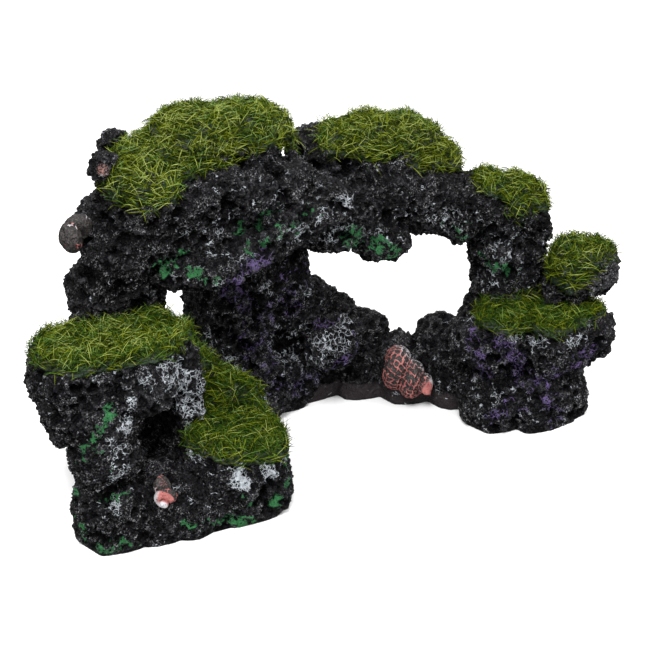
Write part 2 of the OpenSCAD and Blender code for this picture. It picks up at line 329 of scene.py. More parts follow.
def rock_material(name, lace):
    """Crusty black resin with brushed paint; lace is how much of the finest web of paint shows."""
    tree = Tree(name)
    relief = tree.attribute("relief")
    rim = tree.attribute("rim")
    crumbs = tree.noise(1.0 * MM, 3.0, 0.7)
    patches = tree.noise(7 * MM, 2.0)
    specks = tree.noise(0.8 * MM, 1.0)
    # Worn grey brushed onto what stands out, and black in what lies deep, darkened there as painted
    # shade
    wear_and_painted_light = tree.math("ADD", tree.math("MULTIPLY", relief, 0.5), tree.math("MULTIPLY", crumbs, 0.8))
    colour = tree.blend(tree.step(wear_and_painted_light, 0.58, 1.0), ROCK_BLACK, ROCK_GREY)
    # Short pale squiggles and specks along the crust: brushed paint, and painted glints on the
    # raised crust in place of real ones
    wander = tree.math("ABSOLUTE", tree.math("SUBTRACT", tree.noise(2.6 * MM, 2.0, 0.6), 0.5))
    squiggles = tree.step(wander, 0.045, 0.018)
    squiggles = tree.math("MULTIPLY", squiggles, tree.step(crumbs, 0.50, 0.60))
    specks_and_glints = tree.math("MAXIMUM", squiggles, tree.step(specks, 0.62, 0.66))
    specks_and_glints = tree.math("MULTIPLY", specks_and_glints, tree.step(relief, 0.25, 0.65))
    specks_and_glints = tree.math("MULTIPLY", specks_and_glints, tree.step(patches, 0.40, 0.60, 0.12, 1.0))
    colour = tree.blend(tree.math("MULTIPLY", specks_and_glints, 0.64), colour, ROCK_SPECK_AND_GLINT)
    colour = tree.blend(tree.math("MULTIPLY", rim, 0.9), colour, ROCK_RIM)

    # Brushed paint: thin lines round the pits, thicker strands where it went on heavily
    bent = tree.wobbled(2.2 * MM, 1.0 * MM)
    ragged = tree.math("MULTIPLY", tree.math("SUBTRACT", crumbs, 0.5), 0.9)
    fine = tree.math("MULTIPLY", tree.step(tree.cells(1.9 * MM, bent), 0.085, 0.035), lace)
    thin = tree.step(tree.cells(3.2 * MM, bent), 0.055, 0.025)
    strand = tree.math("MULTIPLY", ragged, 0.12)
    strand = tree.math("SUBTRACT", tree.cells(6.0 * MM, bent), strand)
    wide = tree.step(strand, 0.11, 0.07)
    dots = tree.step(specks, 0.62, 0.66)
    # For each paint: its layers with how much paint each takes to show, and what a solid blot takes
    patterns = (
        ("white", PAINT_WHITE, ((thin, 0.63), (fine, 0.735), (dots, 0.82)), 1.26),
        ("purple", PAINT_PURPLE, ((thin, 0.61), (wide, 0.78), (fine, 0.77)), 1.14),
        ("green", PAINT_GREEN, ((wide, 0.74), (thin, 0.73), (fine, 0.84)), 1.12),
    )
    height = tree.math("ADD", crumbs, tree.math("MULTIPLY", specks_and_glints, 0.2))
    ragged_edge = tree.math("MULTIPLY", tree.math("SUBTRACT", patches, 0.60), 1.4)
    skips = tree.noise(4.5 * MM, 2.0)
    blots = tree.math("MULTIPLY", tree.math("SUBTRACT", skips, 0.5), 2.2)
    blots = tree.math("ADD", blots, tree.math("MULTIPLY", ragged, 0.25))
    for zone, paint, layers, heavy in patterns:
        painted = tree.attribute(zone)
        uneven = tree.math("MULTIPLY", ragged_edge, tree.step(painted, 0.0, 0.3))
        amount = tree.math("ADD", painted, uneven)
        held = tree.math("ADD", skips, tree.math("MULTIPLY", amount, 0.35))
        cover = tree.step(tree.math("ADD", amount, blots), heavy, heavy + 0.08)
        for pattern, needed in layers:
            shown = tree.math("MULTIPLY", pattern, tree.step(held, needed, needed + 0.08))
            cover = tree.math("MAXIMUM", cover, shown, clamp=True)
        if zone != "white":
            cover = tree.math("MULTIPLY", cover, tree.step(painted, 0.04, 0.22))
        colour = tree.blend(cover, colour, paint)
        height = tree.math("ADD", height, tree.math("MULTIPLY", cover, 0.45))
    pink = tree.math("MULTIPLY", tree.attribute("pink"), tree.step(crumbs, 0.45, 0.55))
    colour = tree.blend(pink, colour, PAINT_PINK)
    grains = tree.step(tree.cells(1.6 * MM, bent, "F1"), 0.0, 0.6, 1.0, 0.0)
    height = tree.math("ADD", height, tree.math("MULTIPLY", grains, 0.9))
    height = tree.math("MULTIPLY", height, tree.step(rim, 0.0, 1.0, 1.0, 0.35))
    normal = tree.bump(height, 1.1 * MM)
    gloss = tree.step(tree.noise(1.3 * MM, 2.0), 0.35, 0.70, 0.48, 0.22)
    return tree.finish(colour, gloss, normal, 0.11)


BED_DARK = (0.003, 0.006, 0.003)
BED_MIDDLE = (0.008, 0.020, 0.009)
BED_PALE = (0.024, 0.050, 0.016)


def bed_material():
    """Dark green adhesive with pale grains, which gives way to rock where a bed is bare."""
    tree = Tree("adhesive")
    patches = tree.noise(5 * MM, 3.0)
    grains = tree.noise(0.8 * MM, 2.0)
    colour = tree.blend(tree.step(patches, 0.35, 0.65), BED_DARK, BED_MIDDLE)
    colour = tree.blend(tree.step(grains, 0.60, 0.75), colour, BED_PALE)
    # Where the coat is missing, the rock under it shows
    wear_and_painted_light = tree.blend(tree.step(grains, 0.35, 0.65), ROCK_BLACK, ROCK_GREY)
    # Pale specks on the bare rock: brushed paint and painted glints, as on the rocks
    wear_and_painted_light = tree.blend(tree.math("MULTIPLY", tree.step(grains, 0.62, 0.68), 0.5), wear_and_painted_light, ROCK_SPECK_AND_GLINT)
    colour = tree.blend(tree.attribute("bare"), colour, wear_and_painted_light)
    normal = tree.bump(grains, 0.6 * MM)
    return tree.finish(colour, tree.step(patches, 0.3, 0.7, 0.35, 0.6), normal, 0.4)


# Tones of grass from dark to pale, for the greener and for the yellower fibres
GRASS_TONES = 24
GREENER = (
    (0.003, 0.010, 0.002), (0.014, 0.040, 0.005), (0.040, 0.092, 0.010), (0.085, 0.155, 0.020),
    (0.158, 0.236, 0.078),
)
YELLOWER = (
    (0.006, 0.012, 0.001), (0.030, 0.045, 0.002), (0.090, 0.115, 0.005), (0.165, 0.200, 0.012),
    (0.300, 0.352, 0.092),
)

# The painted shade that a fibre's colour is multiplied by at its root, where the fibres over it
# would shade it
GRASS_ROOT_SHADE = (0.06, 0.08, 0.05)


def grass_material():
    """The tone of a blade and the way along it are all that its colour depends on."""
    tree = Tree("grass")
    tone = tree.attribute("tone")
    shades = []
    for colours in (GREENER, YELLOWER):
        ramp_node = tree.nodes.new("ShaderNodeValToRGB")
        elements = ramp_node.color_ramp.elements
        while len(elements) < len(colours):
            elements.new(0.5)
        for step, (element, colour) in enumerate(zip(elements, colours)):
            element.position = step / (len(colours) - 1)
            element.color = (*colour, 1)
        shades.append(ramp_node)
    doubled = tree.math("MULTIPLY", tone, 2.0)
    tree.links.new(doubled, shades[0].inputs[0])
    tree.links.new(tree.math("SUBTRACT", doubled, 1.0), shades[1].inputs[0])
    colour = tree.blend(
        tree.math("GREATER_THAN", tone, 0.5), shades[0].outputs[0], shades[1].outputs[0]
    )
    dark = tree.nodes.new("ShaderNodeMix")
    dark.data_type = "RGBA"
    dark.blend_type = "MULTIPLY"
    dark.inputs["Factor"].default_value = 1.0
    tree.links.new(colour, dark.inputs[6])
    # Painted shade: each fibre darkens towards its root
    low_down = tree.step(tree.attribute("along"), 0.0, 0.5)
    shade = tree.blend(low_down, GRASS_ROOT_SHADE, (1.0, 1.0, 1.0))
    tree.links.new(shade, dark.inputs[7])
    tree.plug(tree.shader.inputs["Base Color"], dark.outputs[2])
    tree.shader.inputs["Roughness"].default_value = 0.5
    tree.shader.inputs["Specular IOR Level"].default_value = 0.02
    return tree.material


SHELL_DARK = (0.009, 0.008, 0.008)
SHELL_GREY = (0.060, 0.052, 0.050)
SHELL_PINK = (0.23, 0.062, 0.058)
SHELL_PALE_PINK = (0.36, 0.125, 0.112)
SHELL_CHALK_PINK = (0.42, 0.24, 0.22)
SHELL_WHITE = (0.40, 0.41, 0.43)


def shell_material():
    """Bare dark resin between ribs that have caught the pink paint, and white on what faces out."""
    tree = Tree("shell_paint")
    ridge = tree.attribute("ridge")
    grain = tree.noise(0.7 * MM, 2.0, 0.6)
    patches = tree.noise(4 * MM, 2.0)
    ground = tree.blend(tree.step(grain, 0.4, 0.7), SHELL_DARK, SHELL_GREY)
    catch = tree.math("ADD", ridge, tree.math("MULTIPLY", tree.math("SUBTRACT", grain, 0.5), 1.1))
    solid = tree.math("MULTIPLY", tree.attribute("solid"), tree.step(grain, 0.30, 0.40))
    cover = tree.math("MAXIMUM", tree.step(catch, 0.46, 0.62), solid, clamp=True)
    pink = tree.blend(tree.step(patches, 0.35, 0.65), SHELL_PINK, SHELL_PALE_PINK)
    pink = tree.blend(tree.step(grain, 0.62, 0.78), pink, SHELL_CHALK_PINK)
    pink = tree.blend(tree.math("MULTIPLY", tree.attribute("whiter"), 0.9), pink, SHELL_WHITE)
    colour = tree.blend(cover, ground, pink)
    normal = tree.bump(tree.math("ADD", grain, cover), 0.35 * MM, 0.8)
    return tree.finish(colour, tree.step(grain, 0.3, 0.7, 0.50, 0.65), normal, 0.25)


ROCK = rock_material("rock", 1.0)
ROCK_OPEN_LACE = rock_material("rock_open_lace", 0.0)
BED = bed_material()
GRASS = grass_material()
SHELL = shell_material()

# ---------------------------------------------------------------- rock castings

VOXEL = 0.7 * MM

ROCKS = (
    "front_left_tower", "front_left_slab", "front_step_boulder", "rear_left_leg",
    "rear_left_head", "brow_ridge", "centre_column", "lace_knob", "arch_beam",
    "right_column", "right_step_block", "right_block", "right_spur", "base_sill",
    "edge_pebbles",
)
BEDS = (
    "head_bed", "beam_bed", "step_block_bed", "spur_bed", "ledge_bed", "slab_bed",
    "front_step_bed",
)

# Strokes of brushed paint: the colour, the node whose box the two ends are given in, the ends,
# the radius in millimetres, and how strongly the paint covers
STROKES = (
    ("white", "front_left_slab", (0.72, 0.15, 0.88), (0.92, 0.38, 0.10), 13, 1.0),
    ("white", "front_left_slab", (0.60, 0.10, 0.80), (0.80, 0.25, 0.70), 9, 0.65),
    ("white", "front_left_tower", (0.40, 0.15, 0.95), (0.24, 0.15, 0.72), 6, 0.75),
    ("white", "front_left_tower", (0.24, 0.15, 0.66), (0.17, 0.10, 0.28), 5, 0.80),
    ("white", "front_step_boulder", (0.06, 0.26, 0.55), (0.80, 0.12, 0.46), 7, 1.05),
    ("white", "front_step_boulder", (0.30, 0.04, 0.50), (0.34, 0.03, 0.36), 4, 1.7),
    ("white", "front_step_boulder", (0.55, 0.02, 0.48), (0.60, 0.02, 0.36), 4, 1.7),
    ("white", "front_left_tower", (0.50, 0.03, 0.40), (0.75, 0.04, 0.20), 9, 0.25),
    ("white", "brow_ridge", (0.06, 0.30, 0.30), (0.45, 0.06, 0.45), 7, 0.65),
    ("white", "brow_ridge", (0.45, 0.08, 0.60), (0.95, 0.30, 0.80), 7, 0.65),
    ("white", "rear_left_head", (0.40, 0.10, 0.25), (0.75, 0.12, 0.45), 12, 0.45),
    ("white", "arch_beam", (0.20, 0.25, 0.36), (0.48, 0.22, 0.20), 8, 0.63),
    ("white", "arch_beam", (0.60, 0.15, 0.40), (0.85, 0.10, 0.28), 10, 0.54),
    ("white", "right_column", (0.30, 0.13, 0.80), (0.15, 0.30, 0.55), 9, 0.75),
    ("white", "right_block", (0.12, 0.60, 0.85), (0.10, 0.40, 0.60), 9, 0.75),
    ("white", "right_block", (0.22, 0.20, 0.82), (0.62, 0.04, 0.72), 8, 0.80),
    ("white", "right_block", (0.70, 0.10, 0.70), (0.90, 0.30, 0.62), 8, 0.55),
    ("white", "right_block", (0.10, 0.25, 0.30), (0.55, 0.08, 0.12), 11, 0.55),
    ("white", "lace_knob", (0.10, 0.20, 0.40), (0.60, 0.13, 0.80), 11, 1.0),
    ("white", "centre_column", (0.14, 0.26, 0.40), (0.35, 0.10, 0.15), 12, 0.50),
    ("white", "centre_column", (0.30, 0.15, 0.65), (0.65, 0.10, 0.60), 14, 0.50),
    ("white", "centre_column", (0.45, 0.10, 0.45), (0.70, 0.20, 0.15), 13, 0.55),
    ("white", "centre_column", (0.20, 0.95, 0.70), (0.60, 0.95, 0.30), 14, 0.60),
    ("white", "rear_left_head", (0.25, 0.98, 0.50), (0.65, 0.98, 0.35), 13, 0.60),
    ("white", "right_block", (0.80, 0.90, 0.60), (0.50, 0.98, 0.40), 11, 0.65),
    ("white", "base_sill", (0.55, 0.30, 0.25), (0.80, 0.10, 0.15), 12, 0.40),
    ("green", "front_left_tower", (0.21, 0.16, 0.92), (0.06, 0.20, 0.66), 6, 0.95),
    ("green", "front_left_tower", (0.05, 0.30, 0.58), (0.20, 0.14, 0.56), 5, 0.85),
    ("green", "front_left_tower", (0.04, 0.32, 0.34), (0.27, 0.12, 0.36), 5, 0.90),
    ("green", "front_left_tower", (0.02, 0.40, 0.20), (0.10, 0.12, 0.06), 6, 0.80),
    ("green", "front_left_tower", (0.10, 0.12, 0.06), (0.32, 0.06, 0.05), 6, 0.95),
    ("green", "front_left_tower", (0.62, 0.03, 0.14), (0.78, 0.06, 0.04), 6, 0.75),
    ("green", "front_step_boulder", (0.86, 0.20, 0.40), (0.62, 0.03, 0.12), 7, 1.0),
    ("green", "front_step_boulder", (0.05, 0.08, 0.07), (0.45, 0.03, 0.05), 7, 0.90),
    ("green", "front_step_boulder", (0.30, 0.03, 0.28), (0.40, 0.03, 0.20), 5, 0.70),
    ("green", "rear_left_head", (0.26, 0.14, 0.16), (0.42, 0.12, 0.26), 5, 0.90),
    ("green", "rear_left_head", (0.60, 0.12, 0.31), (0.78, 0.14, 0.38), 5, 0.90),
    ("green", "brow_ridge", (0.02, 0.38, 0.36), (0.20, 0.12, 0.36), 8, 0.90),
    ("green", "brow_ridge", (0.40, 0.06, 0.56), (0.70, 0.16, 0.84), 7, 0.90),
    ("green", "arch_beam", (0.32, 0.28, 0.30), (0.52, 0.19, 0.12), 8, 1.0),
    ("green", "arch_beam", (0.76, 0.10, 0.26), (0.92, 0.08, 0.18), 7, 0.75),
    ("green", "right_step_block", (0.05, 0.27, 0.46), (0.15, 0.22, 0.30), 6, 0.70),
    ("green", "right_column", (0.04, 0.36, 0.72), (0.28, 0.13, 0.64), 8, 1.0),
    ("green", "arch_beam", (0.30, 0.95, 0.35), (0.60, 0.95, 0.25), 10, 0.80),
    ("green", "rear_left_leg", (0.30, 0.98, 0.55), (0.60, 0.98, 0.25), 11, 0.80),
    ("green", "base_sill", (0.30, 0.95, 0.45), (0.60, 0.80, 0.30), 10, 0.70),
    ("purple", "brow_ridge", (0.33, 0.08, 0.20), (0.46, 0.06, 0.40), 7, 0.85),
    ("purple", "centre_column", (0.22, 0.20, 0.66), (0.32, 0.14, 0.56), 9, 0.65),
    ("purple", "centre_column", (0.50, 0.09, 0.66), (0.58, 0.12, 0.52), 9, 0.58),
    ("purple", "centre_column", (0.60, 0.10, 0.72), (0.66, 0.14, 0.62), 7, 0.43),
    ("purple", "lace_knob", (0.25, 0.46, 1.00), (0.42, 0.40, 0.96), 6, 1.0),
    ("purple", "lace_knob", (0.85, 0.25, 0.50), (0.30, 0.18, 0.08), 7, 0.95),
    ("purple", "centre_column", (0.46, 0.12, 0.50), (0.38, 0.15, 0.34), 10, 0.47),
    ("purple", "centre_column", (0.30, 0.20, 0.42), (0.46, 0.06, 0.14), 9, 0.54),
    ("purple", "centre_column", (0.50, 0.10, 0.10), (0.72, 0.22, 0.14), 9, 0.54),
    ("purple", "right_block", (0.06, 0.37, 0.80), (0.13, 0.35, 0.48), 7, 0.95),
    ("purple", "right_block", (0.18, 0.22, 0.72), (0.30, 0.20, 0.46), 7, 1.0),
    ("purple", "right_block", (0.32, 0.15, 0.42), (0.48, 0.06, 0.40), 7, 0.95),
    ("purple", "right_block", (0.50, 0.03, 0.45), (0.72, 0.05, 0.60), 7, 1.0),
    ("purple", "right_block", (0.72, 0.05, 0.58), (0.95, 0.35, 0.62), 8, 0.80),
    ("purple", "right_block", (0.14, 0.18, 0.16), (0.26, 0.14, 0.24), 6, 0.85),
    ("purple", "right_block", (0.44, 0.05, 0.30), (0.50, 0.05, 0.08), 7, 0.80),
    ("purple", "base_sill", (0.10, 0.95, 0.70), (0.30, 0.95, 0.45), 10, 0.75),
    ("purple", "centre_column", (0.70, 0.95, 0.45), (0.80, 0.95, 0.20), 11, 0.75),
)

# Deep round holes in the crust: the node, the place in its box, radius and depth in millimetres
HOLES = (
    ("centre_column", (0.57, 0.22, 0.32), 8.5, 7.0),
    ("centre_column", (0.34, 0.10, 0.60), 6.0, 4.0),
    ("rear_left_head", (0.33, 0.03, 0.53), 4.5, 4.5),
    ("rear_left_head", (0.79, 0.15, 0.63), 4.5, 4.5),
    ("right_block", (0.16, 0.22, 0.39), 5.5, 5.0),
    ("right_block", (0.36, 0.05, 0.32), 5.5, 5.5),
    ("right_block", (0.36, 0.17, 0.52), 5.0, 4.0),
    ("right_block", (0.14, 0.26, 0.59), 4.0, 3.5),
    ("right_column", (0.18, 0.15, 0.84), 5.0, 4.5),
    ("front_left_slab", (0.36, 0.06, 0.73), 5.0, 4.5),
    ("front_left_slab", (0.16, 0.16, 0.80), 4.0, 3.0),
)


def paint_zone(points, colour):
    """How strongly each point is painted with that colour, from 0 to 1, along wandering strokes."""
    zone = np.zeros(len(points))
    wander = np.stack([noise(points / (8 * MM), seed) for seed in (41, 42, 43)], axis=1)
    points = points + 3.0 * MM * wander
    spread = 1.6 if colour == "white" else 1.35
    for paint, node, start, end, radius, strength in STROKES:
        if paint != colour:
            continue
        start, end = at(node, *start), at(node, *end)
        way = end - start
        part = np.clip((points - start) @ way / (way @ way), 0, 1)
        gap = np.linalg.norm(points - start - part[:, None] * way, axis=1)
        zone = np.maximum(zone, strength * ramp(gap, radius * spread * MM, radius * 0.15 * MM))
    return zone


# The layers of the crust: how wide a feature is, then how far it stands out or in, in millimetres
MM_LUMP, LUMP_HIGH = 16, 1.3
MM_BULGE, BULGE_HIGH = 7, 1.0
MM_HOLLOW, HOLLOW_DEEP = 12, 4.4
MM_PIT, PIT_DEEP, WEB_HIGH, PEBBLE_HIGH = 5.6, 2.1, 0.9, 1.7
MM_GRAVEL, GRAVEL_HIGH = 2.7, 0.95
MM_CRUMB, MM_FINE_CRUMB, CRUMB_HIGH = 3.4, 1.9, 0.55
MM_GRIT, GRIT_HIGH = 1.5, 0.28
# How far the pits and pebbles are drawn out of line, and how wide the areas of either are
MM_WARP, WARP_FAR = 4.5, 1.3
MM_AREA = 24
# Ledges that slant across the head: their length, how far apart they are, height and slope
MM_LEDGE_LONG, MM_LEDGE_APART, LEDGE_HIGH, LEDGE_SLOPE = 16, 4.2, 1.1, 0.35
# The crust comes in between the first two heights, and below the last one the foot is flat
MM_CALM, MM_LIVELY = 0.5, 4.0
MM_FLAT_FOOT = 0.6
# The smooth rim along the sill's foot, and the pink patch on the pebble, in millimetres
MM_RIM, RIM_WANDER, RIM_EDGE = 9, 2.5, 1.5
MM_PINK_OUTER, MM_PINK_INNER = 3.5, 1.5


def rock(node):
    """A casting with its crust, from the widest lumps down to the grit, and its brushed paint."""
    piece = swollen_copy(node, "rock_" + node, 0.2 * MM, VOXEL, 5)
    mesh = piece.data
    start = positions(mesh)
    where = start / MM
    calm = ramp(where[:, 2], MM_CALM, MM_LIVELY)
    rim = np.zeros(len(where))
    if node == "base_sill":
        edge = MM_RIM + RIM_WANDER * noise(where / 14, 40)
        rim = ramp(where[:, 2], edge + RIM_EDGE, edge - RIM_EDGE)
        calm = calm * (1 - 0.75 * rim)

    # Lumps and deep hollows
    lumps = LUMP_HIGH * layered(where / MM_LUMP, 2, 1) - 0.3
    lumps += BULGE_HIGH * np.abs(noise(where / MM_BULGE, 3))
    near, _, kind = cells(where / MM_HOLLOW + 0.15 * noise(where / 5, 9)[:, None], 11)
    lumps -= HOLLOW_DEEP * ramp(near, 0.44, 0.20) * (kind > 0.55)
    for owner, place, radius, depth in HOLES:
        if owner == node:
            gap = np.linalg.norm(start - at(node, *place), axis=1)
            lumps -= depth * ramp(gap, radius * MM, radius * 0.45 * MM)
    if node == "rear_left_head":
        along = where * (1 / MM_LEDGE_LONG, 1 / MM_LEDGE_LONG, 0)
        level = where[:, 2] + LEDGE_SLOPE * where[:, 0] + 3 * noise(where / 20, 8)
        along[:, 2] = level / MM_LEDGE_APART
        lumps += LEDGE_HIGH * noise(along, 21)
    push_out(mesh, lumps * calm * MM)

    # Pebbles in some places, and pits with a web of ridges between them in others
    drift = np.stack([noise(where / MM_WARP, seed) for seed in (31, 32, 33)], axis=1)
    warped = where + WARP_FAR * drift
    near, second, kind = cells(warped / MM_PIT, 51)
    pitted = ramp(noise(where / MM_AREA, 60), -0.35, 0.1)
    web = ramp(second - near, 0.24, 0.04)
    pits = -PIT_DEEP * ramp(near, 0.52, 0.18) * (0.25 + 0.75 * kind) + WEB_HIGH * web
    pebbles = PEBBLE_HIGH * ramp(near, 0.55, 0.10) * (kind > 0.35)
    rough = pitted * pits + (1 - pitted) * pebbles
    near, _, kind = cells(warped / MM_GRAVEL, 71)
    rough += GRAVEL_HIGH * ramp(near, 0.55, 0.15) * (kind > 0.3) - 0.35
    crumble = CRUMB_HIGH * np.abs(noise(where / MM_CRUMB, 82)) - 0.3
    crumble += CRUMB_HIGH * np.abs(noise(where / MM_FINE_CRUMB, 81))
    push_out(mesh, (rough + crumble) * calm * MM)

    # Grit over it all, and a foot that stays on the floor
    grit = GRIT_HIGH * noise(where / MM_GRIT, 83)
    done = positions(mesh) + normals(mesh) * (grit * calm * MM)[:, None]
    done[:, 2] = np.maximum(done[:, 2], 0)
    done[start[:, 2] < MM_FLAT_FOOT * MM, 2] = 0
    move(mesh, done)

    # What the material reads
    rough = rough + crumble
    # relief also sets the rock's painted shade in its hollows and where its painted glints go
    store(mesh, "relief", np.clip(0.45 + 0.25 * (rough + grit) + 0.08 * lumps, 0, 1))
    store(mesh, "rim", rim)
    green, purple = paint_zone(start, "green"), paint_zone(start, "purple")
    white = np.maximum(paint_zone(start, "white"), np.maximum(0.42 * green, 0.50 * purple))
    for colour, zone in (("white", white), ("green", green), ("purple", purple)):
        store(mesh, colour, zone)
    pink = np.zeros(len(where))
    if node == "edge_pebbles":
        gap = np.linalg.norm(start - at(node, 0.15, 0.0, 0.45), axis=1)
        pink = ramp(gap, MM_PINK_OUTER * MM, MM_PINK_INNER * MM)
    store(mesh, "pink", pink)
    mesh.materials.append(ROCK_OPEN_LACE if node == "lace_knob" else ROCK)
    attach(piece, "root")
    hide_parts(node)


for node in ROCKS:
    rock(node)

# ---------------------------------------------------------------- adhesive beds

BED_SWELL = 0.45 * MM
BED_VOXEL = 0.7 * MM
# Beds with a bare side: where in the bed's box the bare side starts and the way that it lies
WORN_BEDS = {"spur_bed": ((0.52, 0.10, 0.52), (0.685, -0.842, -0.906))}


def past_edge(bed_node, points):
    """How far past the edge of the bare side each point is, less than 0 where the grass grows."""
    place, way = WORN_BEDS[bed_node]
    past = (points - at(bed_node, *place)) @ np.array(Vector(way).normalized())
    return past + 1.5 * MM * noise(points / (3 * MM), 95)


def bed(node):
    """A bed of adhesive as a lumpy coat, with any bare side as rough as the rock under it."""
    piece = swollen_copy(node, "coat_" + node, BED_SWELL, BED_VOXEL, 2)
    mesh = piece.data
    where = positions(mesh)
    lumps = 0.45 * noise(where / (4 * MM), 91) + 0.25 * noise(where / (1.8 * MM), 92)
    if node in WORN_BEDS:
        bare = ramp(past_edge(node, where), -1.5 * MM, 0.5 * MM)
        near, _, kind = cells(where / (3.6 * MM), 93)
        lumps += bare * (1.5 * ramp(near, 0.55, 0.10) * (kind > 0.3) - 0.6)
        lumps += bare * 0.8 * np.abs(noise(where / (1.9 * MM), 94))
        store(mesh, "bare", bare)
    push_out(mesh, lumps * MM)
    mesh.materials.append(BED)
    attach(piece, "root")
    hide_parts(node)


for node in BEDS:
    bed(node)

# ---------------------------------------------------------------- grass fibres

# Fibres per square millimetre, their length, width and thickness, and the places of the rings of
# corners along a fibre with how wide it is there
GRASS_DENSITY = 1.25
MM_LENGTH = (6.0, 11.5)
MM_WIDTH = 0.32
MM_THICK = 0.18
RINGS = (0.0, 0.3, 0.6, 0.85)
RING_WIDTH = (1.0, 1.0, 0.85, 0.55)
# How far fibres may reach past the edge of their bed, in millimetres: least, most often and most
MM_OVERHANG = (0.5, 1.5, 9.0)
# A fibre's lean from upright at its root and at its tip, in degrees
ROOT_LEAN = (30, 80)
TIP_LEAN = (66, 98)
# How far a tip sinks and how far it turns aside at most, as parts of the fibre's length
DROOP = 0.20
SWAY = 0.22
# How far neighbouring fibres turn the same way, in radians, and how wide such a tuft is
TUFT_TURN = 1.2
MM_TUFT = 9
# How much fibres are turned upright at their roots, and the steepest faces that they grow on
EDGE_LIFT = 0.6
LOWEST_FACING = -0.15


def roots_on(mesh, density, seed):
    """Evenly random points on the part of a bed that faces up or out, with their normals."""
    mesh.calc_loop_triangles()
    corners = np.empty(len(mesh.loop_triangles) * 3, dtype=np.int64)
    mesh.loop_triangles.foreach_get("vertices", corners)
    a, b, c = positions(mesh)[corners].reshape(-1, 3, 3).transpose(1, 0, 2)
    across = np.cross(b - a, c - a)
    area = np.linalg.norm(across, axis=1)
    facing = across / np.maximum(area, 1e-12)[:, None]
    area = area / 2 * (facing[:, 2] > LOWEST_FACING)
    dice = np.random.default_rng(seed)
    count = int(area.sum() / MM**2 * density)
    pick = dice.choice(len(area), count, p=area / area.sum())
    u, v = dice.random((2, count, 1))
    flip = u + v > 1
    u, v = np.where(flip, 1 - u, u), np.where(flip, 1 - v, v)
    points = a[pick] + u * (b - a)[pick] + v * (c - a)[pick]
    return points, facing[pick], dice


def grass(bed_node, seed, green, bright, density=GRASS_DENSITY):
    """Fibres that rise from the bed, each some way of its own, and arch over to lie along it."""
    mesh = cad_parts[bed_node].data
    roots, up, dice = roots_on(mesh, density, seed)
    if bed_node in WORN_BEDS:
        kept = past_edge(bed_node, roots) < 0
        roots, up = roots[kept], up[kept]
    count = len(roots)
    # Fibres at a bed's edge stand up more than they stick out
    up = up + np.array([0, 0, EDGE_LIFT])
    up /= np.linalg.norm(up, axis=1)[:, None]
    angle = dice.random(count) * 2 * math.pi + TUFT_TURN * noise(roots / (MM_TUFT * MM), seed)
    flat = np.stack([np.cos(angle), np.sin(angle), np.zeros(count)], axis=1)
    flat -= up * np.sum(flat * up, axis=1)[:, None]
    flat /= np.maximum(np.linalg.norm(flat, axis=1), 1e-6)[:, None]
    root_lean = np.radians(dice.uniform(*ROOT_LEAN, (count, 1)))
    turn = np.maximum(np.radians(dice.uniform(*TIP_LEAN, (count, 1))) - root_lean, 0.05)
    length = dice.uniform(*MM_LENGTH, (count, 1)) * MM
    droop = dice.uniform(0, DROOP, (count, 1))
    sway = dice.uniform(-SWAY, SWAY, (count, 1))
    overhang = dice.triangular(*MM_OVERHANG, count) * MM

    def spine(t):
        lean = root_lean + turn * t
        rise = (np.sin(lean) - np.sin(root_lean)) / turn
        reach = (np.cos(root_lean) - np.cos(lean)) / turn
        aside = np.cross(flat, up) * sway * t * t - np.array([0, 0, 1]) * droop * t * t
        return roots + length * (up * rise + flat * reach + aside)

    # One that would reach too far past the edge turns back, or is cut short if that doesn't help
    surface = BVHTree.FromPolygons(
        [v.co for v in mesh.vertices], [tuple(f.vertices) for f in mesh.polygons]
    )

    def too_far():
        tips = spine(1.0)
        nearest = np.array([surface.find_nearest(Vector(tip))[0] for tip in tips])
        return (np.linalg.norm((tips - nearest)[:, :2], axis=1) > overhang)[:, None]

    flat = np.where(too_far(), -flat, flat)
    length = np.where(too_far(), length * 0.5, length)
    side = np.cross(flat, up)
    rings = []
    for t, wide in zip(RINGS, RING_WIDTH):
        middle = spine(t)
        lean = root_lean + turn * t
        lift = up * np.sin(lean) - flat * np.cos(lean)
        half = side * MM_WIDTH * MM / 2 * wide
        ridge = lift * MM_THICK * MM * wide
        rings.append(np.stack([middle - half, middle + half, middle + ridge], axis=1))
    points = np.concatenate([*rings, spine(1.0)[:, None]], axis=1)
    per = points.shape[1]
    faces = [(0, 2, 1)]
    for ring in range(len(RINGS) - 1):
        for k in range(3):
            a, b = ring * 3 + k, ring * 3 + (k + 1) % 3
            faces.append((a, b, b + 3, a + 3))
    last = (len(RINGS) - 1) * 3
    faces += [(last + k, last + (k + 1) % 3, per - 1) for k in range(3)]
    height = np.sum((points[:, -2] - roots) * up, axis=1) / MM
    return points, faces, tones(roots, height, dice, green, bright)


def tones(roots, height, dice, green, bright):
    """A tone for each fibre: below 0.5 greener ones and above it yellower ones, each from dark to
    pale. Fibres that rise high are made the palest as painted light, and low ones darker as
    painted shade; green is the share of greener ones."""
    patch = layered(roots / (12 * MM), 2, 7)
    high = ramp(height, 0.5, 5.0)
    # Painted light and shade: how high a fibre rises sets how pale it may be
    pale = 0.10 * patch + bright * 1.2 * dice.random(len(roots)) ** 1.5 * (0.62 + 0.42 * high)
    pale = (np.floor(np.clip(pale, 0, 0.999) * GRASS_TONES) + 0.5) / GRASS_TONES
    yellow = dice.random(len(roots)) + 0.35 * layered(roots / (16 * MM), 2, 9) > green
    return (pale + yellow) / 2


